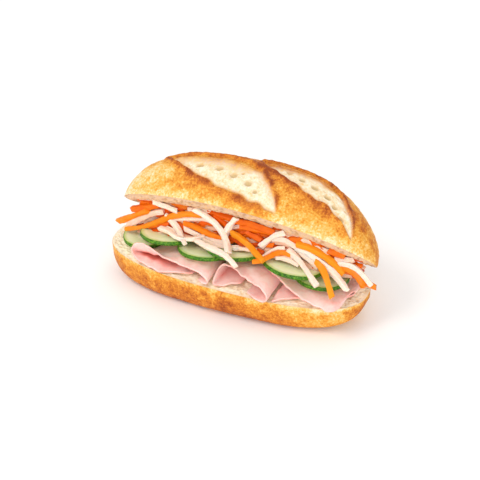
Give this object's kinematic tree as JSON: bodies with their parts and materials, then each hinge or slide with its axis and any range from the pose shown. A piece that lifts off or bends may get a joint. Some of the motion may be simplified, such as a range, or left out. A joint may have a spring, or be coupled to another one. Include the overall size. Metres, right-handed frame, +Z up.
{
  "type": "filled baguette sandwich",
  "caption": "Short crusty baguette split lengthways and propped open over folded ham, cucumber slices and a heap of pickled carrot and daikon shreds.",
  "frame": {"origin": "on the flat underside of the lower half, at the middle of the sandwich's width and within 2 mm of the middle of its length", "axes": "+X along the roll, -Y out of the open side that shows the filling, +Z up"},
  "size_m": [0.2223, 0.1075, 0.1044],
  "materials": {
    "crust": "baked golden crust, paler in the slashes and along the cut",
    "ham": "moist pink cooked ham",
    "cucumber": "wet pale green flesh with a dark green skin",
    "pickles": "wet orange carrot and translucent white daikon"
  },
  "bodies": {
    "root": {"bread_base": "crust", "bread_lid": "crust", "ham_1": "ham", "ham_2": "ham", "ham_3": "ham", "cucumber_1": "cucumber", "cucumber_2": "cucumber", "cucumber_3": "cucumber", "cucumber_4": "cucumber", "cucumber_5": "cucumber", "cucumber_6": "cucumber", "pickle_heap": "pickles"}
  },
  "joints": []
}
